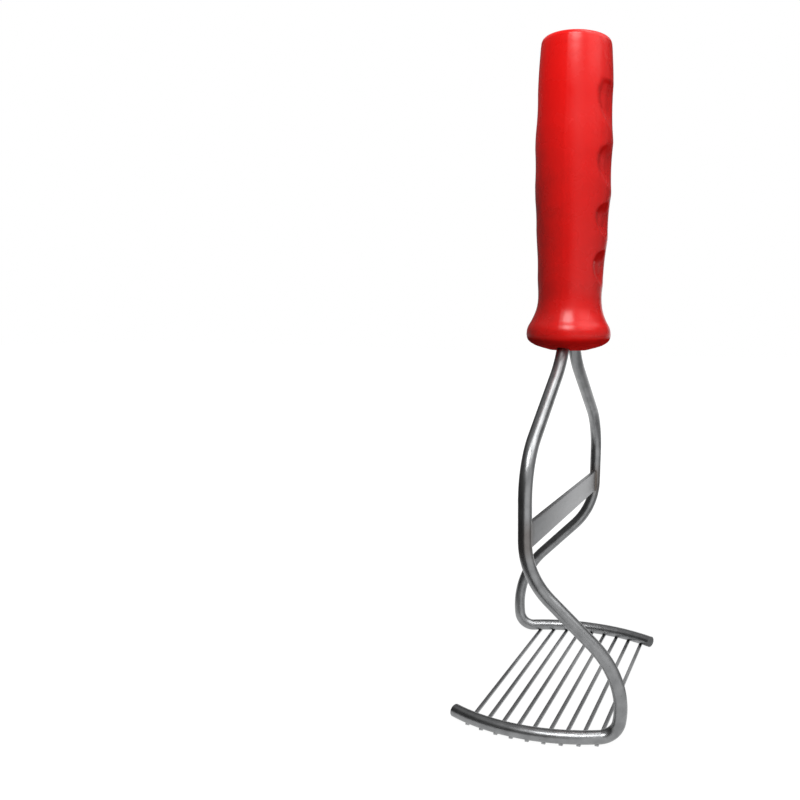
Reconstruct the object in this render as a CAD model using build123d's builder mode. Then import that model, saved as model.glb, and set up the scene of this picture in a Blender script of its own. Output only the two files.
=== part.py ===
from build123d import *
from math import atan2, cos, radians, sin, sqrt, tan
import os

# Potato masher: a moulded grip on two bent wires that carry a row of flat bars.
# Millimetres. The axis of the grip is Z, and z = 0 is the plane of the bars' undersides.
# The rear wire is the front one turned half a turn about Z.

# Wire frame
wire_diameter = 5.0
wire_side_count = 16  # flats that stand for the round section
tang_gap = 0.75  # between the two wires inside the grip
tang_cover = 30.8  # grip above the ends of the tangs
shoulder_height = 142.6
shoulder_bend_radius = 38.0
waist_height = 103.7
waist_reach = 56.0  # from the axis to the wire's centre line
waist_bend_radius = 25.0
knee_height = 63.6
knee_reach = 54.6
knee_bend_radius = 30.5
leg_height = 27.3
leg_reach = 48.7
leg_side = 36.7  # how far the leg swings across, out of the plane of the tangs
foot_bend_radius = 6.9
foot_run = 0.7  # straight wire between the foot bend and the head arc

# Retaining notches in the tangs, filled by the grip
notch_count = 2
notch_depth = 0.8
notch_height = 5.0
notch_spacing = 17.0
notch_drop = 12.0  # from the end of the tang to the middle of the first notch

# Head arcs, bowed outwards
arc_radius = 68.0
arc_reach = 52.7  # from the axis to the outermost point of the arc's centre line
arc_foot_angle = 22.2  # degrees from the middle of the arc to the foot bend
arc_free_angle = 27.6  # degrees from the middle of the arc to the free end

# Mashing bars
bar_count = 9
bar_width = 1.5
bar_thickness = 0.8
bar_overhang = 1.0  # past the arc's centre line
bar_row_inset = 0.7  # from the start of each arc to the outer bars
bar_row_shift = 1.25  # the row sits this far off the middle
weld_sink = 0.2  # how deep a bar sits in the wire
weld_width = 0.9  # along the wire, on each side of a bar
weld_drop = 0.45  # below the wire, beside a bar
weld_length = 1.9  # along the bar

# Cross brace
brace_thickness = 1.8
brace_height = 9.4
brace_bottom_height = 72.2

# Grip
grip_bottom_height = 140.7
grip_length = 116.7
grip_base_radius = 7.5  # flat part of the grip's underside
lip_radius = 16.85
lip_height = 5.9
flare_radius = 14.75
flare_height = 12.0
neck_radius = 12.6
neck_height = 20.5
swell_radius = 15.1
crown_radius = 13.3
crown_drop = 3.2  # below the top of the grip
crown_slope = 0.07  # inwards for each millimetre up
cap_radius = 10.4
cap_drop = 0.3  # below the top of the grip
finger_depth = 0.5  # at the sides of the grip
finger_centre_offset = 0.5  # the grooves are this much deeper at the back

# Ridges between the finger grooves, from the neck up: shares of the grip's length
# and of the swell's radius
ridge_height_shares = (0.218, 0.372, 0.518, 0.68, 0.86)
ridge_radius_shares = (0.858, 0.928, 0.98, 1.0, 0.95)
# Part of that offset by which the grooves are moved outwards again
ridge_offset_share = 0.3
# Cones that stand for each curve of the outline, and for each groove
lip_cone_count = 4
flare_cone_count = 5
body_cone_count = 8
crown_cone_count = 3
dome_cone_count = 2
groove_cone_count = 3

wire_radius = wire_diameter / 2
arc_height = bar_thickness - weld_sink + wire_radius
tang_reach = (wire_diameter + tang_gap) / 2
tang_top_height = grip_bottom_height + grip_length - tang_cover


def arc_point(angle):
    """A point on the front arc's centre line, at an angle in degrees from its middle."""
    turn = radians(angle)
    centre_y = arc_radius - arc_reach
    return Vector(arc_radius * sin(turn), centre_y - arc_radius * cos(turn), arc_height)


def arc_side(x):
    """How far in front of the axis the front arc's centre line runs at a place x."""
    return arc_reach - arc_radius + sqrt(arc_radius**2 - x**2)


def half_turn(before, corner, after):
    """Half of the angle by which a path turns at a corner, in radians."""
    return radians((corner - before).get_angle(after - corner)) / 2


def wire_corners():
    """The corners of the front wire's centre line, from its tang to the start of its arc."""
    arc_start = arc_point(arc_foot_angle)
    turn = radians(arc_foot_angle)
    foot_reach = foot_bend_radius + foot_run
    return [
        Vector(0, -tang_reach, tang_top_height),
        Vector(0, -tang_reach, shoulder_height),
        Vector(0, -waist_reach, waist_height),
        Vector(0, -knee_reach, knee_height),
        Vector(leg_side, -leg_reach, leg_height),
        arc_start + Vector(cos(turn), sin(turn), 0) * foot_reach,
        arc_start,
    ]


def leg_bend_radius(corners):
    """The leg's bend is as large as the foot bend leaves room for."""
    knee_corner, leg, foot, arc_start = corners[-4:]
    foot_tangent = foot_bend_radius * tan(half_turn(leg, foot, arc_start))
    room = (foot - leg).length - foot_tangent - foot_run
    return room / tan(half_turn(knee_corner, leg, foot))


def bent_wire():
    """One frame wire, from the end of its tang to the free end of its arc."""
    corners = wire_corners()
    bends = [
        shoulder_bend_radius,
        waist_bend_radius,
        knee_bend_radius,
        leg_bend_radius(corners),
        foot_bend_radius,
    ]
    with BuildPart() as wire:
        with BuildLine() as path:
            FilletPolyline(*corners, radius=bends)
            ThreePointArc(arc_point(arc_foot_angle), arc_point(0), arc_point(-arc_free_angle))
        with BuildSketch(Plane(origin=corners[0], z_dir=Vector(0, 0, -1))):
            RegularPolygon(wire_radius, wire_side_count)
        sweep(path=path.wires()[0])
        for index in range(notch_count):
            middle = tang_top_height - notch_drop - index * notch_spacing
            with Locations((0, -tang_reach - wire_radius, middle)):
                Box(wire_diameter, 2 * notch_depth, notch_height, mode=Mode.SUBTRACT)
    return wire.part


def bar_places():
    """The places of the bars along X, evenly spread between the starts of the two arcs."""
    row_half = arc_radius * sin(radians(arc_foot_angle)) - bar_row_inset
    pitch = 2 * row_half / (bar_count - 1)
    return [bar_row_shift - row_half + index * pitch for index in range(bar_count)]


def weld_fillets(side):
    """The weld fillets on both sides of each bar, under one arc.

    side is -1 for the front arc and 1 for the rear one."""
    wire_bottom = arc_height - wire_radius
    fillet_half = bar_width / 2 + weld_width
    with BuildPart() as fillets:
        for x in bar_places():
            outer_face = side * arc_side(x) - weld_length / 2
            with BuildSketch(Plane.XZ.offset(-outer_face)):
                Polygon(
                    (x - fillet_half, arc_height),
                    (x - fillet_half, wire_bottom),
                    (x - bar_width / 2, wire_bottom - weld_drop),
                    (x + bar_width / 2, wire_bottom - weld_drop),
                    (x + fillet_half, wire_bottom),
                    (x + fillet_half, arc_height),
                    align=None,
                )
            extrude(amount=-weld_length)
    return fillets.part


def chord_points(curve, count):
    """Points that share a curve out evenly, without its first point."""
    return [curve @ (step / count) for step in range(1, count + 1)]


def grip_ridges():
    """The ridges between the finger grooves, as radius and height above the grip's underside."""
    return [
        (swell_radius * radius_share, grip_length * height_share)
        for height_share, radius_share in zip(ridge_height_shares, ridge_radius_shares)
    ]


def grip_outline():
    """Half of the grip's section without its grooves, as radius and height above its underside."""
    crown = (crown_radius, grip_length - crown_drop)
    cap = (cap_radius, grip_length - cap_drop)
    # The top is a shallow dome, level on the axis
    cap_turn = 2 * atan2(cap_drop, cap_radius)
    lip = Spline((grip_base_radius, 0), (lip_radius, lip_height), tangents=((1, 0), (0, 1)))
    flare = Spline(
        lip @ 1,
        (flare_radius, flare_height),
        (neck_radius, neck_height),
        tangents=((0, 1), (0, 1)),
    )
    body = Spline(flare @ 1, *grip_ridges(), crown, tangents=((0, 1), (-crown_slope, 1)))
    shoulder = TangentArc(body @ 1, cap, tangent=body % 1)
    dome = TangentArc(cap, (0, grip_length), tangent=(-cos(cap_turn), sin(cap_turn)))
    return [
        (0, 0),
        lip @ 0,
        *chord_points(lip, lip_cone_count),
        *chord_points(flare, flare_cone_count),
        *chord_points(body, body_cone_count),
        *chord_points(shoulder, crown_cone_count),
        *chord_points(dome, dome_cone_count),
    ]


def groove_outline(lower, upper):
    """The section of the cut for the groove between two ridges."""
    rise = Vector(upper) - Vector(lower)
    outward = Vector(rise.Y, -rise.X).normalized()
    middle = (Vector(lower) + Vector(upper)) / 2 - outward * finger_depth
    groove = ThreePointArc(lower, middle, upper)
    return [
        groove @ 0,
        *chord_points(groove, groove_cone_count),
        groove @ 1 + Vector(swell_radius, 0),
        groove @ 0 + Vector(swell_radius, 0),
    ]


mashing_bars = []
for x in bar_places():
    with BuildPart() as mashing_bar:
        Box(
            bar_width,
            2 * (arc_side(x) + bar_overhang),
            bar_thickness,
            align=(Align.CENTER, Align.CENTER, Align.MIN),
        )
    mashing_bars.append(mashing_bar.part.translate((x, 0, 0)))

wire_shape = bent_wire()
front_fillets = weld_fillets(-1)
rear_fillets = weld_fillets(1)

with BuildPart() as front_frame_wire:
    add(wire_shape)
    add(front_fillets)
    add(mashing_bars, mode=Mode.SUBTRACT)

with BuildPart() as rear_frame_wire:
    add(wire_shape.rotate(Axis.Z, 180))
    add(rear_fillets)
    add(mashing_bars, mode=Mode.SUBTRACT)

with BuildPart() as cross_brace:
    middle_share = (brace_bottom_height + brace_height / 2 - knee_height) / (
        waist_height - knee_height
    )
    reach = knee_reach + middle_share * (waist_reach - knee_reach)
    with Locations((0, 0, brace_bottom_height)):
        Box(
            brace_thickness,
            2 * reach,
            brace_height,
            align=(Align.CENTER, Align.CENTER, Align.MIN),
        )
    add(front_frame_wire.part, mode=Mode.SUBTRACT)
    add(rear_frame_wire.part, mode=Mode.SUBTRACT)

ridges = grip_ridges()
grip_section = grip_outline()
groove_sections = [
    groove_outline(lower, upper) for lower, upper in zip(ridges[:-1], ridges[1:])
]

with BuildPart() as handle_grip:
    with BuildSketch(Plane.XZ.shift_origin((0, 0, grip_bottom_height))):
        Polygon(*grip_section, align=None)
    revolve(axis=Axis.Z)
    groove_plane = Plane(
        (0, -finger_centre_offset, grip_bottom_height), x_dir=(1, 0, 0), z_dir=(0, -1, 0)
    )
    for groove_section in groove_sections:
        with BuildSketch(groove_plane):
            with Locations((finger_centre_offset * ridge_offset_share, 0)):
                Polygon(*groove_section, align=None)
        revolve(axis=Axis((0, -finger_centre_offset, 0), (0, 0, 1)), mode=Mode.SUBTRACT)
    add(front_frame_wire.part, mode=Mode.SUBTRACT)
    add(rear_frame_wire.part, mode=Mode.SUBTRACT)

os.makedirs("parts", exist_ok=True)

for number, bar in enumerate(mashing_bars, start=1):
    bar.label = f"mashing_bar_{number}"
    export_step(bar, f"parts/mashing_bar_{number}.step")

front_frame_wire.part.label = "front_frame_wire"
export_step(front_frame_wire.part, "parts/front_frame_wire.step")

rear_frame_wire.part.label = "rear_frame_wire"
export_step(rear_frame_wire.part, "parts/rear_frame_wire.step")

cross_brace.part.label = "cross_brace"
export_step(cross_brace.part, "parts/cross_brace.step")

handle_grip.part.label = "handle_grip"
export_step(handle_grip.part, "parts/handle_grip.step")
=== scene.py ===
"""Potato masher: a moulded red grip, two bent steel wires, a flat brace and a row of nine bars.

Metres, apart from tables that say mm. The grip's axis is Z, and z = 0 is the plane of the bars'
undersides. Directions round the axis are in degrees, from the -Y side towards +X.
"""

from math import acos, atan2, cos, degrees, hypot, pi, radians, sin, sqrt, tan

import bpy
from mathutils import Matrix, Vector


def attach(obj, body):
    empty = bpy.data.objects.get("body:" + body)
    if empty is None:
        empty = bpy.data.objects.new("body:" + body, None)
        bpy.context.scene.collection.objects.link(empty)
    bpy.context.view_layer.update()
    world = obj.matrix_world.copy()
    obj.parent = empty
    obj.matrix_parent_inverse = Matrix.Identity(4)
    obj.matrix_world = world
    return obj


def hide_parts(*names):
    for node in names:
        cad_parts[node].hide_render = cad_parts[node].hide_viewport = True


MM = 0.001
# Points nearer to each other than this are one point
SAME_PLACE = 0.01 * MM

# Frame wires
WIRE_RADIUS = 2.5 * MM
WIRE_SIDES = 16
WIRE_CURVE_STEPS = 20
ARC_HEIGHT = 3.1 * MM
ARC_RADIUS = 68.0 * MM
ARC_CENTRE_Y = 15.3 * MM
ARC_FOOT_ANGLE = radians(22.2)
ARC_FREE_ANGLE = radians(27.6)
FOOT_BEND_RADIUS = 6.9 * MM
FOOT_RUN = 0.7 * MM
# Corners of the front wire and the radius of the bend at each
TANG_TOP = Vector((0, -2.875, 226.6)) * MM
WIRE_BENDS = (
    (Vector((0, -2.875, 142.6)) * MM, 38.0 * MM),
    (Vector((0, -56.0, 103.7)) * MM, 25.0 * MM),
    (Vector((0, -54.6, 63.6)) * MM, 30.5 * MM),
    (Vector((36.7, -48.7, 27.3)) * MM, 34.867 * MM),
)
# How far the rim of each free end is rounded, and in how many steps
FRONT_END_RIM = (1.4 * MM, 6)
REAR_END_RIM = (0.4 * MM, 3)

# Bars. An edge is how far it is rounded, and in how many steps
BAR_COUNT = 9
BAR_FIRST_X = -23.744 * MM
BAR_PITCH = 6.2485 * MM
BAR_WIDTH = 1.5 * MM
BAR_THICKNESS = 0.8 * MM
BAR_OVERHANG = 1.0 * MM
BAR_EDGE = (0.12 * MM, 2)

# Brace
BRACE_THICKNESS = 1.8 * MM
BRACE_HEIGHT = 9.4 * MM
BRACE_BOTTOM = 72.2 * MM
BRACE_REACH = 53.6 * MM
BRACE_EDGE = (0.25 * MM, 3)

# Weld beads at the ends of the brace: half their width and depth, how much longer they are than the
# brace is high, how far in from its end they lie, and shares by which they taper and ripple
BEAD_RADII = (0.62 * MM, 0.95 * MM)
BEAD_SPARE = 0.5 * MM
BEAD_INSET = 0.55 * MM
BEAD_SIDES = 16
BEAD_SECTIONS = 12
BEAD_TAPER = 0.35
BEAD_RIPPLE = 0.07
BEAD_RIPPLE_RADIANS = 40

# Weld flares where the bars meet the arcs: size, height of their middle, the share of their size
# that is left at the foot, and levels of subdivision
FLARE_SIZE = Vector((3.5, 2.0, 1.1)) * MM
FLARE_HEIGHT = 0.75 * MM
FLARE_FOOT = (0.5, 0.8, 1)
FLARE_LEVELS = 3

# Grip: height above its underside and radius, in mm
GRIP_BOTTOM = 140.7 * MM
GRIP_PROFILE = (
    (0.0, 7.2), (0.5, 9.1), (1.2, 11.6), (2.2, 14.1), (3.8, 16.15), (5.4, 16.75), (6.8, 16.8),
    (8.6, 16.45), (11.7, 14.85), (14.9, 13.5), (18.0, 12.8), (21.2, 12.6), (27.4, 13.0),
    (35.0, 13.4), (43.4, 13.95), (52.0, 14.45), (60.4, 14.8), (70.0, 15.05), (79.4, 15.0),
    (90.0, 14.6), (100.4, 14.35), (106.0, 14.1), (110.7, 13.78), (114.0, 13.5), (115.1, 13.3),
    (115.9, 12.8), (116.4, 12.0), (116.6, 11.0), (116.65, 8.0), (116.68, 5.0), (116.7, 2.0),
)
GRIP_CURVE_STEPS = 12
GRIP_ROUND_STEPS = 160
GRIP_END_INSET = 0.8 * MM
# The moulding stands a little askew on the tangs: height and shift to +X, in mm
GRIP_LEAN = (
    (0.0, -0.3), (10.0, -0.3), (19.5, -0.1), (42.0, 0.3), (76.0, 0.3), (93.0, 0.42), (120.0, 0.42),
)
# Line down the front where the halves of the tool met: half its width, how far it stands out, and
# how near to the axis it stops on the closed ends
WITNESS_REACH = 0.1 * MM
WITNESS_HEIGHT = 0.05 * MM
WITNESS_STOP = 5 * MM
# Ridges between the finger grooves: height, radius, and depth of the groove above, in mm
RIDGES = (
    (25.4, 12.87, 0.42), (43.4, 13.95, 0.42), (60.4, 14.8, 0.42), (79.4, 15.0, 0.5),
    (100.4, 14.35, 0),
)
# The grooves are cut about an axis this far in front of the grip's own, this much shallower all
# round, and with a corner this soft where they run out, all in mm
GROOVE_OFFSET = 0.45
GROOVE_STAND_OFF = 0.14
GROOVE_SOFTNESS = 0.05

# Finger scoops on both sides, where the grooves end: lowest and highest point in mm, and reach to
# each side of their middle line in degrees. That line is turned a little from +Y towards +X
SCOOPS = ((23.2, 40.2, 110), (41.2, 57.8, 112), (59.6, 79.8, 113), (80.8, 104.0, 114))
SCOOP_MIDDLE = 160
SCOOP_DEPTH = 1.15
# Degrees from the middle line to the back of a scoop, and over which it fades in from there
SCOOP_BACK = 55
SCOOP_FADE = 26
# Degrees over which the front wall rises, at the top and at the foot of a scoop
SCOOP_TOP_WALL = 11
SCOOP_FOOT_WALL = 19.8
# Share of its height over which a scoop deepens from its top and from its foot
SCOOP_RAMP = 0.42
# The front edge of a scoop, as shares of its height and of its reach
SCOOP_EDGE = (
    (0, 0), (0.06, 0.36), (0.14, 0.62), (0.25, 0.83), (0.38, 0.95), (0.52, 1.0), (0.66, 0.99),
    (0.78, 0.9), (0.88, 0.68), (0.95, 0.38), (1.0, 0.05),
)

# Red plastic. Painted shade, with some grime, begins at the first height below. It is thickest
# below the second height and on the -X side
PLASTIC_IOR = 1.49
PLASTIC_SPECULAR = 0.27
PLASTIC_ROUGHNESS = (0.2, 0.34)
PLASTIC_COLOURS = ("#EA1310", "#F21613")
PIGMENT_PATCH = 26.31579 * MM
WORN_PATCH = 11.11111 * MM
SHADE_AND_GRIME_COLOUR = "#8E1F1C"
SHADE_AND_GRIME_PATCH = 6.66667 * MM
SHADE_AND_GRIME_TOP = 245 * MM
SHADE_AND_GRIME_FULL = 190 * MM
LIT_SIDE_X = 4 * MM
SHADED_SIDE_X = -11 * MM
# How far a face has to look down before it is sheltered, and its finish there
SHELTER_START = -0.1
SHELTER_FULL = -0.3
SHELTER_ROUGHNESS = 0.85
SHELTER_SPECULAR = 0.02
# Size and depth of the marks in its skin
RIPPLE = (6.25 * MM, 0.3 * MM)
DRAG_MARKS = (0.909091 * MM, 0.05 * MM)
SPARK_GRAIN = (0.3125 * MM, 0.04 * MM)

# Steel finishes: light and dark colour, size of the grain, lowest and highest roughness, and how
# much the pattern is slowed along each axis, which draws it out along the rolled strips
WIRE_FINISH = ("#929394", "#7E7F80", 0.4 * MM, 0.3, 0.37, (1, 1, 1))
BRACE_FINISH = ("#97989A", "#8D8E8F", 0.5 * MM, 0.34, 0.42, (1, 0.15, 1))
BAR_FINISH = ("#A6A7A8", "#98999A", 0.4 * MM, 0.34, 0.42, (1, 0.2, 1))
WELD_FINISH = ("#96928E", "#807A74", 0.3 * MM, 0.25, 0.4, (1, 1, 1))
STEEL_CLOUD = 3.846154 * MM
NICK_SPACING = 1.111111 * MM
NICK_COLOUR = "#3A3837"
NICK_DEPTH = 0.05 * MM
STEEL_GRAIN_DEPTH = 0.04 * MM
# Heat bloom at the ends of the brace, from its outer to its inner radius
BLOOM_COLOUR = "#5C5048"
BLOOM_MIDDLE = (0, BRACE_REACH + 0.9 * MM, BRACE_BOTTOM + BRACE_HEIGHT / 2)
BLOOM_OUTER = 9 * MM
BLOOM_INNER = 4 * MM

# Camera, matched to the photo's view of the object
CAMERA_PLACE = Vector((80.8, -310.8, 153.5)) * MM
CAMERA_HEADING = 0.301
CAMERA_PITCH = -0.160
CAMERA_ROLL = -0.015
CAMERA_LENS = 35.69
CAMERA_SENSOR = 36
CAMERA_SHIFT = (-0.1627, 0.0563)
CAMERA_CLIP = (0.01, 50)

# White room, seen at full strength, which lights the object at this share of it
ROOM_FILL = 0.15
FLOOR_SIZE = 6
FLOOR_PAINT = "#A4A4A4"
FLOOR_GLOW = 1.13
# Near the object only this share of the floor glows, and the rest is paint that takes its shadow.
# Between these distances it becomes all glow
FLOOR_NEAR_SHARE = 0.86
FLOOR_NEAR = 0.06
FLOOR_FAR = 0.22

# Softboxes: place, aim, size, radiance, where 1 is a white that just clips, and whether gloss
# shows them
SOFTBOXES = (
    ("front_softbox", (0.09, -0.475, 0.655), (0, 0, 0.12), (0.27, 0.27), 17.0, True),
    ("top_softbox", (0.24, 0.04, 1.05), (0, 0, 0.1), (0.45, 0.45), 3.8, True),
    ("right_fill", (0.35, -0.6, 0.5), (0, 0, 0.15), (0.4, 0.4), 1.2, False),
    ("back_fill", (0.02, 0.8, 0.6), (0, 0, 0.15), (0.6, 0.5), 3.0, False),
    ("left_back_fill", (-0.7, 0.35, 0.6), (0, 0, 0.15), (0.5, 0.5), 1.6, False),
)

# Cards round the object that its gloss shows: start and end direction, distance and height of the
# low and of the high edge, and shade, where 1 is white
CARDS = (
    ("dark_left_wall", -112, 9, (0.5, -0.01), (0.5, 0.5), 0.1),
    ("dark_low_wall", -112, 4, (0.125, 0), (0.125, 0.1), 0.07),
    ("grey_front_wall", 9, 20, (0.5, -0.01), (0.5, 0.5), 0.5),
    ("pale_front_right_wall", 20, 70, (0.5, -0.01), (0.5, 0.16), 1.25),
    ("pale_right_wall", 70, 95, (0.5, -0.01), (0.5, 0.16), 1.25),
    ("grey_middle_right_wall", 20, 95, (0.5, 0.16), (0.5, 0.34), 0.7),
    ("pale_low_right_wall", 95, 115, (0.5, -0.01), (0.5, 0.16), 0.8),
    ("grey_right_wall", 95, 130, (0.5, 0.16), (0.5, 0.5), 0.45),
    ("dark_back_right_wall", 130, 160, (0.5, 0.16), (0.5, 0.5), 0.12),
    ("bright_right_wall", 50, 95, (0.5, 0.42), (0.5, 1.5), 3.6),
    ("bright_high_right_wall", 95, 128, (0.5, 0.5), (0.5, 1.5), 3.0),
    ("grey_back_right_wall", 115, 150, (0.5, -0.01), (0.5, 0.15), 0.3),
    ("grey_right_floor", 85, 148, (0.04, 0.001), (0.5, 0.001), 0.42),
    ("dark_back_wall", 160, 195, (0.5, 0.25), (0.5, 0.6), 0.12),
    ("grey_upper_back_wall", 150, 195, (0.5, 0.6), (0.5, 1.4), 0.4),
    ("grey_back_left_wall", -165, -112, (0.5, -0.01), (0.5, 0.15), 0.35),
    ("dark_back_left_wall", -165, -112, (0.5, 0.15), (0.5, 0.5), 0.12),
    ("grey_upper_left_wall", -165, -20, (0.5, 0.5), (0.5, 1.4), 0.38),
    ("grey_ceiling", 150, 340, (0.5, 1.4), (0.01, 1.4), 0.4),
)
CARD_STEPS = 24
# Cards as dark as this also keep light off the object, as black card does in a studio
BLACK_CARD = 0.1


def deselect_all():
    if bpy.context.object and bpy.context.object.mode != "OBJECT":
        bpy.ops.object.mode_set(mode="OBJECT")
    bpy.ops.object.select_all(action="DESELECT")


def take(piece):
    """Makes a piece the only selected and active one."""
    deselect_all()
    piece.select_set(True)
    bpy.context.view_layer.objects.active = piece


def select_where(piece, element, test):
    """Selects the vertices or polygons of a piece that pass a test, and stays in edit mode."""
    bpy.ops.object.mode_set(mode="EDIT")
    bpy.ops.mesh.select_all(action="DESELECT")
    bpy.ops.mesh.select_mode(type={"vertices": "VERT", "polygons": "FACE"}[element])
    bpy.ops.object.mode_set(mode="OBJECT")
    for item in getattr(piece.data, element):
        item.select = bool(test(item))
    bpy.ops.object.mode_set(mode="EDIT")


def settle(piece):
    """Moves a piece's place, turn and size into its mesh."""
    take(piece)
    bpy.ops.object.transform_apply(location=True, rotation=True, scale=True)


def copy_to(piece, place):
    """A copy of a piece with a mesh of its own, moved by place."""
    twin = piece.copy()
    twin.data = piece.data.copy()
    bpy.context.scene.collection.objects.link(twin)
    twin.location = place
    settle(twin)
    return twin


def finish_piece(piece, name, material, angle=30):
    """Names a piece, smooths what is flatter than angle, and gives it its finish."""
    settle(piece)
    bpy.ops.object.shade_smooth_by_angle(angle=radians(angle))
    piece.name = name
    piece.data.name = name
    piece.data.materials.clear()
    piece.data.materials.append(material)
    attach(piece, "root")
    return piece


def new_curve(knots, steps):
    """A curve of so many knots, with so many steps from one to the next."""
    deselect_all()
    bpy.ops.curve.primitive_bezier_curve_add(enter_editmode=False, location=(0, 0, 0))
    curve = bpy.context.object
    curve.data.dimensions = "3D"
    spline = curve.data.splines[0]
    spline.bezier_points.add(knots - 2)
    spline.resolution_u = steps
    return curve, spline.bezier_points


def as_mesh(curve):
    take(curve)
    bpy.ops.object.convert(target="MESH")
    return bpy.context.object


def linear(hex_colour):
    """An sRGB hex colour as linear RGBA."""
    channels = [int(hex_colour[i:i + 2], 16) / 255 for i in (1, 3, 5)]
    return [c / 12.92 if c <= 0.04045 else ((c + 0.055) / 1.055) ** 2.4 for c in channels] + [1.0]


def add_node(tree, kind, settings=None, links=None):
    """Adds a node; settings are its properties or socket values, and links its inputs' sources."""
    node = tree.nodes.new(kind)
    for name, value in (settings or {}).items():
        if isinstance(name, str) and hasattr(node, name) and name not in node.inputs:
            setattr(node, name, value)
        else:
            node.inputs[name].default_value = value
    for name, source in (links or {}).items():
        tree.links.new(source, node.inputs[name])
    return node


def new_material(name):
    material = bpy.data.materials.new(name)
    material.use_nodes = True
    material.node_tree.nodes.clear()
    return material, material.node_tree


def set_camera():
    data = bpy.data.cameras.new("photo_view")
    camera = bpy.data.objects.new("photo_view", data)
    bpy.context.scene.collection.objects.link(camera)
    forward = Vector((
        -sin(CAMERA_HEADING) * cos(CAMERA_PITCH),
        cos(CAMERA_HEADING) * cos(CAMERA_PITCH),
        sin(CAMERA_PITCH),
    ))
    level_right = Vector((cos(CAMERA_HEADING), sin(CAMERA_HEADING), 0))
    level_down = forward.cross(level_right)
    right = level_right * cos(CAMERA_ROLL) + level_down * sin(CAMERA_ROLL)
    down = level_down * cos(CAMERA_ROLL) - level_right * sin(CAMERA_ROLL)
    turn = Matrix((right, -down, -forward)).transposed().to_4x4()
    camera.matrix_world = Matrix.Translation(CAMERA_PLACE) @ turn
    data.lens = CAMERA_LENS
    data.sensor_width = CAMERA_SENSOR
    data.shift_x, data.shift_y = CAMERA_SHIFT
    data.clip_start, data.clip_end = CAMERA_CLIP
    bpy.context.scene.camera = camera
    bpy.context.scene.view_settings.view_transform = "Standard"


def background_rays(tree):
    """1 for camera, mirror and glass rays, 0 for the rest."""
    path = add_node(tree, "ShaderNodeLightPath").outputs
    seen = add_node(
        tree, "ShaderNodeMath", {"operation": "MAXIMUM"},
        {0: path["Is Camera Ray"], 1: path["Is Glossy Ray"]},
    )
    return add_node(
        tree, "ShaderNodeMath", {"operation": "MAXIMUM"},
        {0: seen.outputs[0], 1: path["Is Transmission Ray"]},
    ).outputs[0]


def set_room():
    """White all round, which the camera and the gloss see and which lights the object faintly."""
    world = bpy.data.worlds.new("white_studio")
    bpy.context.scene.world = world
    world.use_nodes = True
    tree = world.node_tree
    tree.nodes.clear()
    strength = add_node(
        tree, "ShaderNodeMapRange", {"To Min": ROOM_FILL, "To Max": 1.0},
        {"Value": background_rays(tree)},
    )
    back = add_node(
        tree, "ShaderNodeBackground", {"Color": (1, 1, 1, 1)}, {"Strength": strength.outputs[0]}
    )
    add_node(tree, "ShaderNodeOutputWorld", None, {"Surface": back.outputs[0]})


def set_floor():
    deselect_all()
    bpy.ops.mesh.primitive_plane_add(size=FLOOR_SIZE, location=(0, 0, 0))
    floor = bpy.context.object
    floor.name = "studio_floor"
    material, tree = new_material("white_floor")
    # Close to the object some of the paint is left, to show its shadow
    place = add_node(tree, "ShaderNodeTexCoord").outputs["Object"]
    away = add_node(tree, "ShaderNodeVectorMath", {"operation": "LENGTH"}, {0: place})
    near = add_node(
        tree, "ShaderNodeMapRange",
        {
            "From Min": FLOOR_NEAR, "From Max": FLOOR_FAR,
            "To Min": FLOOR_NEAR_SHARE, "To Max": 1.0,
        },
        {"Value": away.outputs["Value"]},
    )
    share = add_node(
        tree, "ShaderNodeMath", {"operation": "MULTIPLY"},
        {0: background_rays(tree), 1: near.outputs[0]},
    )
    paint = add_node(tree, "ShaderNodeBsdfDiffuse", {"Color": linear(FLOOR_PAINT)})
    glow = add_node(
        tree, "ShaderNodeEmission", {"Color": (1, 1, 1, 1), "Strength": FLOOR_GLOW}
    )
    mix = add_node(
        tree, "ShaderNodeMixShader", None,
        {0: share.outputs[0], 1: paint.outputs[0], 2: glow.outputs[0]},
    )
    add_node(tree, "ShaderNodeOutputMaterial", None, {"Surface": mix.outputs[0]})
    floor.data.materials.append(material)


def add_softbox(name, place, aim, size, radiance, in_gloss):
    data = bpy.data.lights.new(name, "AREA")
    data.shape = "RECTANGLE"
    data.size, data.size_y = size
    data.energy = radiance * pi * size[0] * size[1]
    light = bpy.data.objects.new(name, data)
    bpy.context.scene.collection.objects.link(light)
    light.location = place
    light.rotation_mode = "QUATERNION"
    light.rotation_quaternion = (Vector(aim) - Vector(place)).to_track_quat("-Z", "Y")
    light.visible_camera = False
    light.visible_glossy = in_gloss


def add_card(name, start, end, low_edge, high_edge, shade):
    """A card bent round the object: one edge of a plane, stood at its start and spun to its end."""
    deselect_all()
    bpy.ops.mesh.primitive_plane_add(size=1, location=(0, 0, 0))
    card = bpy.context.object
    card.name = name
    select_where(card, "vertices", lambda v: v.co.x > 0)
    bpy.ops.mesh.delete(type="VERT")
    bpy.ops.object.mode_set(mode="OBJECT")
    turn = radians(start)
    for vertex in card.data.vertices:
        distance, height = low_edge if vertex.co.y < 0 else high_edge
        vertex.co = (sin(turn) * distance, -cos(turn) * distance, height)
    bpy.ops.object.mode_set(mode="EDIT")
    bpy.ops.mesh.select_all(action="SELECT")
    # With no window, spin turns the other way, so its axis points down
    bpy.ops.mesh.spin(
        steps=CARD_STEPS, angle=radians(end - start), center=(0, 0, 0), axis=(0, 0, -1)
    )
    bpy.ops.object.mode_set(mode="OBJECT")
    material, tree = new_material(name)
    glow = add_node(
        tree, "ShaderNodeEmission", {"Color": (shade, shade, shade, 1), "Strength": 1}
    )
    add_node(tree, "ShaderNodeOutputMaterial", None, {"Surface": glow.outputs[0]})
    card.data.materials.append(material)
    card.visible_camera = False
    card.visible_shadow = False
    card.visible_diffuse = shade <= BLACK_CARD


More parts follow.
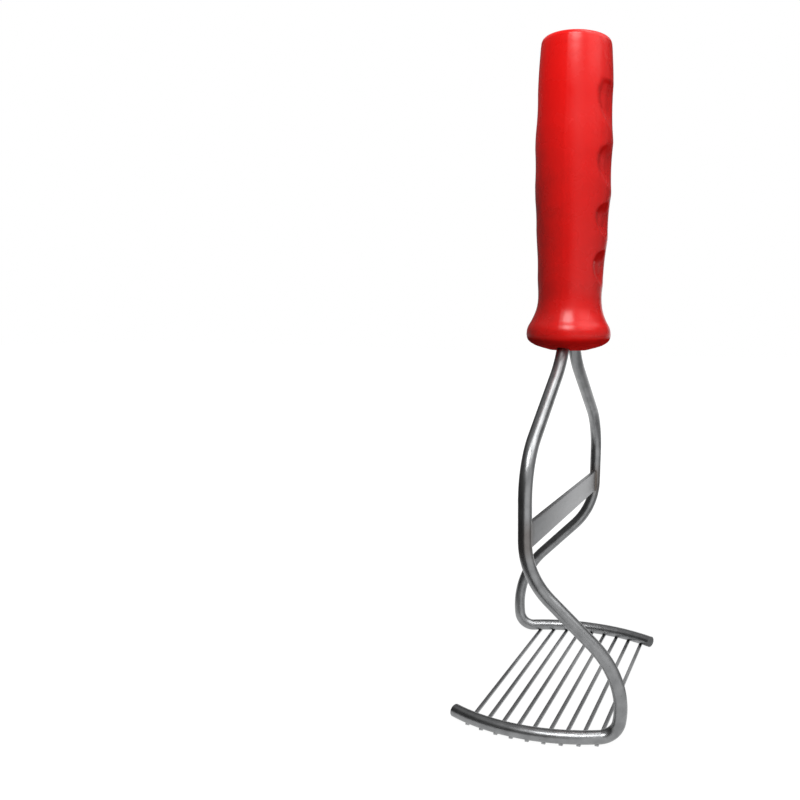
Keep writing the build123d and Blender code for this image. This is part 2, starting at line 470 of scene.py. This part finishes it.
def moulded_polypropylene():
    """Polypropylene moulded in a spark-eroded tool: a satin skin with a soft, broad gloss."""
    material, tree = new_material("moulded_red_polypropylene")
    coordinates = add_node(tree, "ShaderNodeTexCoord").outputs
    place = coordinates["Object"]
    axes = add_node(tree, "ShaderNodeSeparateXYZ", None, {0: place}).outputs
    # Uneven pigment, a few centimetres across
    pigment = add_node(
        tree, "ShaderNodeTexNoise", {"Scale": 1 / PIGMENT_PATCH, "Detail": 3.0}, {"Vector": place}
    )
    deep, bright = PLASTIC_COLOURS
    tint = add_node(
        tree, "ShaderNodeMix", {"data_type": "RGBA", "A": linear(deep), "B": linear(bright)},
        {"Factor": pigment.outputs["Fac"]},
    )
    # Painted shade, with some grime, darkens the lower half in patches, most of it on the -X side
    low = add_node(
        tree, "ShaderNodeMapRange",
        {"interpolation_type": "SMOOTHSTEP", "From Min": SHADE_AND_GRIME_TOP, "From Max": SHADE_AND_GRIME_FULL},
        {"Value": axes["Z"]},
    )
    shaded_side = add_node(
        tree, "ShaderNodeMapRange",
        {"From Min": LIT_SIDE_X, "From Max": SHADED_SIDE_X, "To Min": 0.2, "To Max": 0.85},
        {"Value": axes["X"]},
    )
    blotch = add_node(
        tree, "ShaderNodeTexNoise",
        {"Scale": 1 / SHADE_AND_GRIME_PATCH, "Detail": 6.0, "Roughness": 0.62}, {"Vector": place},
    )
    patchy = add_node(
        tree, "ShaderNodeMapRange",
        {"From Min": 0.35, "From Max": 0.65, "To Min": 0.68, "To Max": 1.0},
        {"Value": blotch.outputs["Fac"]},
    )
    reach = add_node(
        tree, "ShaderNodeMath", {"operation": "MULTIPLY"}, {0: low.outputs[0], 1: shaded_side.outputs[0]}
    )
    # How much painted shade and grime there is: lower half, times the -X side, times the patches
    shade_and_grime = add_node(
        tree, "ShaderNodeMath", {"operation": "MULTIPLY"},
        {0: reach.outputs[0], 1: patchy.outputs[0]},
    )
    # The pigment darkened by the painted shade and grime
    shaded_and_grimed = add_node(
        tree, "ShaderNodeMix", {"data_type": "RGBA", "B": linear(SHADE_AND_GRIME_COLOUR)},
        {"Factor": shade_and_grime.outputs[0], "A": tint.outputs["Result"]},
    )
    # Handling has polished the skin in patches. The sheltered faces that look down, in the scoops
    # and under the lip, hold dirt and stay matt
    wear = add_node(
        tree, "ShaderNodeTexNoise", {"Scale": 1 / WORN_PATCH, "Detail": 4.0}, {"Vector": place}
    )
    smooth, rough = PLASTIC_ROUGHNESS
    worn = add_node(
        tree, "ShaderNodeMapRange", {"To Min": smooth, "To Max": rough},
        {"Value": wear.outputs["Fac"]},
    )
    upward = add_node(tree, "ShaderNodeSeparateXYZ", None, {0: coordinates["Normal"]}).outputs["Z"]
    sheltered = add_node(
        tree, "ShaderNodeMapRange",
        {"From Min": SHELTER_START, "From Max": SHELTER_FULL, "To Max": SHELTER_ROUGHNESS},
        {"Value": upward},
    )
    skin = add_node(
        tree, "ShaderNodeMath", {"operation": "MAXIMUM"},
        {0: worn.outputs[0], 1: sheltered.outputs[0]},
    )
    gloss = add_node(
        tree, "ShaderNodeMapRange",
        {
            "From Min": SHELTER_FULL, "From Max": SHELTER_START,
            "To Min": SHELTER_SPECULAR, "To Max": PLASTIC_SPECULAR,
        },
        {"Value": upward},
    )
    # A slow ripple from shrinkage, drag marks up the draw of the tool, and its spark grain
    ripple_size, ripple_depth = RIPPLE
    drag_size, drag_depth = DRAG_MARKS
    grain_size, grain_depth = SPARK_GRAIN
    ripple = add_node(
        tree, "ShaderNodeTexNoise", {"Scale": 1 / ripple_size, "Detail": 2.0}, {"Vector": place}
    )
    drawn = add_node(tree, "ShaderNodeMapping", {"Scale": (1, 1, 0.03)}, {"Vector": place})
    drag = add_node(
        tree, "ShaderNodeTexNoise", {"Scale": 1 / drag_size, "Detail": 3.0},
        {"Vector": drawn.outputs[0]},
    )
    grain = add_node(
        tree, "ShaderNodeTexNoise", {"Scale": 1 / grain_size, "Detail": 2.0}, {"Vector": place}
    )
    rippled = add_node(
        tree, "ShaderNodeBump", {"Strength": 0.2, "Distance": ripple_depth},
        {"Height": ripple.outputs["Fac"]},
    )
    dragged = add_node(
        tree, "ShaderNodeBump", {"Strength": 0.25, "Distance": drag_depth},
        {"Height": drag.outputs["Fac"], "Normal": rippled.outputs[0]},
    )
    grained = add_node(
        tree, "ShaderNodeBump", {"Strength": 0.2, "Distance": grain_depth},
        {"Height": grain.outputs["Fac"], "Normal": dragged.outputs[0]},
    )
    shader = add_node(
        tree, "ShaderNodeBsdfPrincipled",
        {"IOR": PLASTIC_IOR, "Specular IOR Level": PLASTIC_SPECULAR},
        {
            "Base Color": shaded_and_grimed.outputs["Result"], "Roughness": skin.outputs[0],
            "Specular IOR Level": gloss.outputs[0], "Normal": grained.outputs[0],
        },
    )
    add_node(tree, "ShaderNodeOutputMaterial", None, {"Surface": shader.outputs[0]})
    return material


def tumbled_steel(name, light, dark, grain_size, smooth, rough, along):
    """Stainless steel, tumbled in ceramic media after welding: an even satin skin with nicks."""
    material, tree = new_material(name)
    place = add_node(tree, "ShaderNodeTexCoord").outputs["Object"]
    rolled = add_node(tree, "ShaderNodeMapping", {"Scale": along}, {"Vector": place})
    # Faint clouds a few millimetres across, where the media rubbed more or less
    cloud = add_node(
        tree, "ShaderNodeTexNoise", {"Scale": 1 / STEEL_CLOUD, "Detail": 5.0},
        {"Vector": rolled.outputs[0]},
    )
    spread = add_node(
        tree, "ShaderNodeMapRange", {"From Min": 0.3, "From Max": 0.7},
        {"Value": cloud.outputs["Fac"]},
    )
    tint = add_node(
        tree, "ShaderNodeMix", {"data_type": "RGBA", "A": linear(dark), "B": linear(light)},
        {"Factor": spread.outputs[0]},
    )
    # Nicks half a millimetre across, dark because they hold dirt
    spots = add_node(
        tree, "ShaderNodeTexNoise", {"Scale": 1 / NICK_SPACING, "Detail": 2.0}, {"Vector": place}
    )
    nicks = add_node(
        tree, "ShaderNodeMapRange", {"From Min": 0.68, "From Max": 0.76, "To Max": 0.45},
        {"Value": spots.outputs["Fac"]},
    )
    nicked = add_node(
        tree, "ShaderNodeMix", {"data_type": "RGBA", "B": linear(NICK_COLOUR)},
        {"Factor": nicks.outputs[0], "A": tint.outputs["Result"]},
    )
    # The brace's welds left a brown bloom in the steel near them, at the front and at the rear
    mirrored = add_node(tree, "ShaderNodeVectorMath", {"operation": "ABSOLUTE"}, {0: place})
    apart = add_node(
        tree, "ShaderNodeVectorMath", {"operation": "DISTANCE", 1: BLOOM_MIDDLE},
        {0: mirrored.outputs[0]},
    )
    bloom = add_node(
        tree, "ShaderNodeMapRange",
        {"From Min": BLOOM_OUTER, "From Max": BLOOM_INNER, "To Max": 0.45},
        {"Value": apart.outputs["Value"]},
    )
    bloomed = add_node(
        tree, "ShaderNodeMix", {"data_type": "RGBA", "B": linear(BLOOM_COLOUR)},
        {"Factor": bloom.outputs[0], "A": nicked.outputs["Result"]},
    )
    # Satin grain of a few tenths of a millimetre, over the nicks' own dents
    grain = add_node(
        tree, "ShaderNodeTexNoise", {"Scale": 1 / grain_size, "Detail": 3.0},
        {"Vector": rolled.outputs[0]},
    )
    skin = add_node(
        tree, "ShaderNodeMapRange", {"To Min": smooth, "To Max": rough},
        {"Value": grain.outputs["Fac"]},
    )
    dented = add_node(
        tree, "ShaderNodeBump", {"Strength": 0.15, "Distance": NICK_DEPTH},
        {"Height": spots.outputs["Fac"]},
    )
    grained = add_node(
        tree, "ShaderNodeBump", {"Strength": 0.08, "Distance": STEEL_GRAIN_DEPTH},
        {"Height": grain.outputs["Fac"], "Normal": dented.outputs[0]},
    )
    shader = add_node(
        tree, "ShaderNodeBsdfPrincipled", {"Metallic": 1.0},
        {
            "Base Color": bloomed.outputs["Result"], "Roughness": skin.outputs[0],
            "Normal": grained.outputs[0],
        },
    )
    add_node(tree, "ShaderNodeOutputMaterial", None, {"Surface": shader.outputs[0]})
    return material


def step_up(low, high, value):
    """0 below low, 1 above high, and a smooth rise between them."""
    share = max(0, min(1, (value - low) / (high - low)))
    return share * share * (3 - 2 * share)


def rows_around(table, value):
    """The two rows of a table whose first values a value lies between."""
    for low, high in zip(table, table[1:]):
        if value <= high[0]:
            break
    return low, high


def groove_radius(height):
    """Radius of the finger grooves at a height, from one ridge to the next."""
    (low, low_radius, depth), (high, high_radius, _) = rows_around(RIDGES, height)
    share = (height - low) / (high - low)
    ridge_line = low_radius + share * (high_radius - low_radius)
    return ridge_line - depth * (1 - (2 * share - 1) ** 2)


def scoop_dip(height, turn):
    """Depth of the finger scoops at a height, turn degrees round from their middle line."""
    for low, high, front in SCOOPS:
        if low < height < high:
            share = (height - low) / (high - low)
            (share_a, reach_a), (share_b, reach_b) = rows_around(SCOOP_EDGE, share)
            reach = reach_a + (reach_b - reach_a) * (share - share_a) / (share_b - share_a)
            edge = SCOOP_BACK + (front - SCOOP_BACK) * reach
            wall_width = SCOOP_FOOT_WALL + (SCOOP_TOP_WALL - SCOOP_FOOT_WALL) * share
            wall = step_up(0, wall_width, edge - turn)
            back = step_up(SCOOP_BACK, SCOOP_BACK + SCOOP_FADE, turn)
            ends = step_up(0, SCOOP_RAMP, share) * step_up(0, SCOOP_RAMP, 1 - share)
            return SCOOP_DEPTH * wall * back * ends
    return 0


def lean(height):
    """How far the grip's centre is shifted to +X at a height above its underside."""
    (low, low_shift), (high, high_shift) = rows_around(GRIP_LEAN, height)
    return low_shift + step_up(low, high, height) * (high_shift - low_shift)


def turn_grip():
    """The plain grip: its outline spun round its axis, with both ends closed."""
    outline, knots = new_curve(len(GRIP_PROFILE), GRIP_CURVE_STEPS)
    for knot, (height, radius) in zip(knots, GRIP_PROFILE):
        knot.co = (radius * MM, 0, GRIP_BOTTOM + height * MM)
        knot.handle_left_type = "AUTO"
        knot.handle_right_type = "AUTO"
    grip = as_mesh(outline)
    bpy.ops.object.mode_set(mode="EDIT")
    bpy.ops.mesh.select_all(action="SELECT")
    bpy.ops.mesh.spin(steps=GRIP_ROUND_STEPS, angle=2 * pi, center=(0, 0, 0), axis=(0, 0, 1))
    bpy.ops.mesh.select_all(action="SELECT")
    bpy.ops.mesh.remove_doubles(threshold=SAME_PLACE)
    for height, _ in (GRIP_PROFILE[0], GRIP_PROFILE[-1]):
        end = GRIP_BOTTOM + height * MM
        select_where(grip, "vertices", lambda v: abs(v.co.z - end) < SAME_PLACE)
        bpy.ops.mesh.edge_face_add()
        bpy.ops.mesh.inset(thickness=GRIP_END_INSET)
    bpy.ops.mesh.select_all(action="SELECT")
    bpy.ops.mesh.normals_make_consistent(inside=False)
    bpy.ops.object.mode_set(mode="OBJECT")
    return grip


def make_grip(material):
    grip = turn_grip()
    bottom_ridge, top_ridge = RIDGES[0][0], RIDGES[-1][0]
    for vertex in grip.data.vertices:
        height = (vertex.co.z - GRIP_BOTTOM) / MM
        # The grooves and scoops end just under the top ridge, which stays whole
        if bottom_ridge < height < top_ridge - SAME_PLACE / MM:
            radius = hypot(vertex.co.x, vertex.co.y) / MM
            facing = vertex.co.y / MM / radius
            cut = groove_radius(height) + GROOVE_STAND_OFF - GROOVE_OFFSET * facing
            gap = (radius - cut) / GROOVE_SOFTNESS
            depth = GROOVE_SOFTNESS * (gap + sqrt(gap * gap + 1)) / 2
            heading = degrees(atan2(vertex.co.x, -vertex.co.y))
            turn = abs((heading - SCOOP_MIDDLE + 180) % 360 - 180)
            scale = (radius - depth - scoop_dip(height, turn)) / radius
            vertex.co.x *= scale
            vertex.co.y *= scale
    for vertex in grip.data.vertices:
        if abs(vertex.co.x) < WITNESS_REACH and vertex.co.y < -WITNESS_STOP:
            vertex.co.y -= WITNESS_HEIGHT
        vertex.co.x += lean((vertex.co.z - GRIP_BOTTOM) / MM) * MM
    finish_piece(grip, "moulded_grip", material, angle=50)
    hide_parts("handle_grip")


def arc_point(angle):
    """A point on the front arc, at an angle from its middle towards the foot."""
    return Vector((ARC_RADIUS * sin(angle), ARC_CENTRE_Y - ARC_RADIUS * cos(angle), ARC_HEIGHT))


def bend_handle(radius, turn):
    """Length of the handles that make a curve follow a round bend."""
    return radius * 4 / 3 * tan(turn / 4)


def wire_path(end_angle):
    """Knots of the front wire: place, direction, and length of the handles behind and ahead."""
    foot_start = arc_point(ARC_FOOT_ANGLE)
    foot_way = Vector((cos(ARC_FOOT_ANGLE), sin(ARC_FOOT_ANGLE), 0))
    foot_corner = foot_start + foot_way * (FOOT_BEND_RADIUS + FOOT_RUN)
    bends = WIRE_BENDS + ((foot_corner, FOOT_BEND_RADIUS),)
    corners = [TANG_TOP] + [corner for corner, _ in bends] + [foot_start]
    path = [[TANG_TOP, Vector((0, 0, -1)), 0, 0]]

    def run_to(place, way, ahead):
        """Adds the knot at the end of a straight run."""
        run = (place - path[-1][0]).length / 3
        path[-1][3] = run
        path.append([place, way, run, ahead])

    for before, (corner, radius), after in zip(corners, bends, corners[2:]):
        way_in = (corner - before).normalized()
        way_out = (after - corner).normalized()
        turn = acos(way_in.dot(way_out))
        setback = radius * tan(turn / 2)
        handle = bend_handle(radius, turn)
        run_to(corner - way_in * setback, way_in, handle)
        path.append([corner + way_out * setback, way_out, handle, 0])
    handle = bend_handle(ARC_RADIUS, ARC_FOOT_ANGLE + end_angle)
    run_to(foot_start, -foot_way, handle)
    free_way = Vector((-cos(end_angle), sin(end_angle), 0))
    path.append([arc_point(-end_angle), free_way, handle, 0])
    return path


def round_end(wire, centre, way, rim, steps):
    """Draws the cap at the end of a wire out into a rounded rim."""
    near = 0.3 * MM
    select_where(
        wire, "polygons", lambda p: (p.center - centre).length < near and p.normal.dot(way) > 0.9
    )
    radius, height = WIRE_RADIUS, 0
    for step in range(1, steps + 1):
        turn = pi / 2 * step / steps
        next_radius = WIRE_RADIUS - rim * (1 - cos(turn))
        next_height = rim * sin(turn)
        bpy.ops.mesh.extrude_region_move(
            TRANSFORM_OT_translate={"value": way * (next_height - height)}
        )
        ratio = next_radius / radius
        bpy.ops.transform.resize(
            value=(ratio, ratio, ratio), center_override=centre + way * next_height
        )
        radius, height = next_radius, next_height
    bpy.ops.object.mode_set(mode="OBJECT")


def make_wire(name, material, half_turn, rim, rim_steps):
    """A frame wire as a round tube along its path, with the rim of its free end rounded."""
    end_angle = ARC_FREE_ANGLE - rim / ARC_RADIUS
    path = wire_path(end_angle)
    wire, knots = new_curve(len(path), WIRE_CURVE_STEPS)
    for knot, (place, way, behind, ahead) in zip(knots, path):
        knot.handle_left_type = "FREE"
        knot.handle_right_type = "FREE"
        knot.co = place
        knot.handle_left = place - way * behind
        knot.handle_right = place + way * ahead
    wire.data.bevel_depth = WIRE_RADIUS
    wire.data.bevel_resolution = (WIRE_SIDES - 4) // 2
    wire.data.use_fill_caps = True
    wire.rotation_euler = (0, 0, half_turn)
    wire = as_mesh(wire)
    settle(wire)
    bpy.ops.object.mode_set(mode="EDIT")
    bpy.ops.mesh.select_all(action="SELECT")
    bpy.ops.mesh.remove_doubles(threshold=SAME_PLACE)
    bpy.ops.mesh.normals_make_consistent(inside=False)
    turned = Matrix.Rotation(half_turn, 3, "Z")
    end, end_way = path[-1][:2]
    round_end(wire, turned @ end, turned @ end_way, rim, rim_steps)
    return finish_piece(wire, name, material, angle=40)


def soft_box(low, high, edge, segments):
    """A flat piece of strip with its edges broken."""
    deselect_all()
    low, high = Vector(low), Vector(high)
    bpy.ops.mesh.primitive_cube_add(size=1, location=(low + high) / 2)
    piece = bpy.context.object
    piece.scale = high - low
    settle(piece)
    bpy.ops.object.mode_set(mode="EDIT")
    bpy.ops.mesh.select_all(action="SELECT")
    bpy.ops.mesh.bevel(offset=edge, segments=segments, profile=0.5)
    bpy.ops.object.mode_set(mode="OBJECT")
    return piece


def bar_places():
    """For each bar its number, its place along X, and its reach to the middle of the arcs."""
    for index in range(BAR_COUNT):
        x = BAR_FIRST_X + index * BAR_PITCH
        yield index + 1, x, sqrt(ARC_RADIUS**2 - x**2) - ARC_CENTRE_Y


def make_bars(material):
    for number, x, reach in bar_places():
        half = reach + BAR_OVERHANG
        bar = soft_box(
            (x - BAR_WIDTH / 2, -half, 0), (x + BAR_WIDTH / 2, half, BAR_THICKNESS), *BAR_EDGE
        )
        finish_piece(bar, f"bar_strip_{number}", material)
        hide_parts(f"mashing_bar_{number}")


def make_brace(material):
    brace = soft_box(
        (-BRACE_THICKNESS / 2, -BRACE_REACH, BRACE_BOTTOM),
        (BRACE_THICKNESS / 2, BRACE_REACH, BRACE_BOTTOM + BRACE_HEIGHT),
        *BRACE_EDGE,
    )
    finish_piece(brace, "brace_strip", material)
    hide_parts("cross_brace")


def make_brace_welds(material):
    """A bead of weld metal down both faces of the brace, at each end."""
    deselect_all()
    bpy.ops.mesh.primitive_cylinder_add(
        vertices=BEAD_SIDES, radius=1, depth=1, location=(0, 0, BRACE_BOTTOM + BRACE_HEIGHT / 2)
    )
    plain_bead = bpy.context.object
    plain_bead.scale = (*BEAD_RADII, BRACE_HEIGHT + BEAD_SPARE)
    settle(plain_bead)
    bpy.ops.object.mode_set(mode="EDIT")
    for section in range(1, BEAD_SECTIONS):
        height = BRACE_BOTTOM + BRACE_HEIGHT * section / BEAD_SECTIONS
        bpy.ops.mesh.select_all(action="SELECT")
        bpy.ops.mesh.bisect(plane_co=(0, 0, height), plane_no=(0, 0, 1))
    bpy.ops.object.mode_set(mode="OBJECT")
    for side, name in ((-1, "front"), (1, "rear")):
        for face, face_name in ((-1, "left"), (1, "right")):
            middle = Vector((face * BRACE_THICKNESS / 2, side * (BRACE_REACH - BEAD_INSET), 0))
            bead = copy_to(plain_bead, middle)
            # Ripples of the solidified pool, about 1.5 mm apart, and a taper to the ends
            for vertex in bead.data.vertices:
                share = (vertex.co.z - BRACE_BOTTOM) / BRACE_HEIGHT
                taper = BEAD_TAPER * abs(2 * share - 1) ** 3
                ripple = BEAD_RIPPLE * sin(share * BEAD_RIPPLE_RADIANS + side + face)
                centre = middle + Vector((0, 0, vertex.co.z))
                vertex.co = centre + (vertex.co - centre) * (1 - taper + ripple)
            finish_piece(
                bead, f"brace_weld_{name}_{face_name}", material, angle=60
            )
    bpy.data.objects.remove(plain_bead)


def make_bar_welds(material):
    """A flare of weld metal on both sides of each bar, under both arcs."""
    deselect_all()
    bpy.ops.mesh.primitive_cube_add(size=1, location=(0, 0, FLARE_HEIGHT))
    plain_flare = bpy.context.object
    plain_flare.scale = FLARE_SIZE
    settle(plain_flare)
    select_where(plain_flare, "polygons", lambda p: p.normal.z < -0.5)
    bpy.ops.transform.resize(value=FLARE_FOOT, center_override=(0, 0, 0))
    bpy.ops.object.mode_set(mode="OBJECT")
    rounding = plain_flare.modifiers.new("round", "SUBSURF")
    rounding.levels = FLARE_LEVELS
    rounding.render_levels = FLARE_LEVELS
    take(plain_flare)
    bpy.ops.object.modifier_apply(modifier=rounding.name)
    for side, name in ((-1, "front"), (1, "rear")):
        for number, x, reach in bar_places():
            flare = copy_to(plain_flare, (x, side * reach, 0))
            finish_piece(flare, f"bar_weld_{name}_{number}", material, angle=60)
    bpy.data.objects.remove(plain_flare)


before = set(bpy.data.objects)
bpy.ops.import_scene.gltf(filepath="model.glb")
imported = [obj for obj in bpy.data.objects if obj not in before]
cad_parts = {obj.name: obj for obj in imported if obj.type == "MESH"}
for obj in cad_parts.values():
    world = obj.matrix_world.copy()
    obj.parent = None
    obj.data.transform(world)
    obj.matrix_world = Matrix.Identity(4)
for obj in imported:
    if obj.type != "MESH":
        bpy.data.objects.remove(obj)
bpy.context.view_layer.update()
deselect_all()

set_camera()
set_room()
set_floor()
for softbox in SOFTBOXES:
    add_softbox(*softbox)
for card in CARDS:
    add_card(*card)

red_plastic = moulded_polypropylene()
wire_steel = tumbled_steel("tumbled_stainless_wire", *WIRE_FINISH)
brace_steel = tumbled_steel("rolled_stainless_strip", *BRACE_FINISH)
bar_steel = tumbled_steel("slit_stainless_strip", *BAR_FINISH)
weld_steel = tumbled_steel("weld_metal", *WELD_FINISH)

make_grip(red_plastic)
front_wire = make_wire("front_wire", wire_steel, 0, *FRONT_END_RIM)
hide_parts("front_frame_wire")
rear_wire = make_wire("rear_wire", wire_steel, pi, *REAR_END_RIM)
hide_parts("rear_frame_wire")
make_brace(brace_steel)
make_brace_welds(weld_steel)
make_bars(bar_steel)
make_bar_welds(weld_steel)
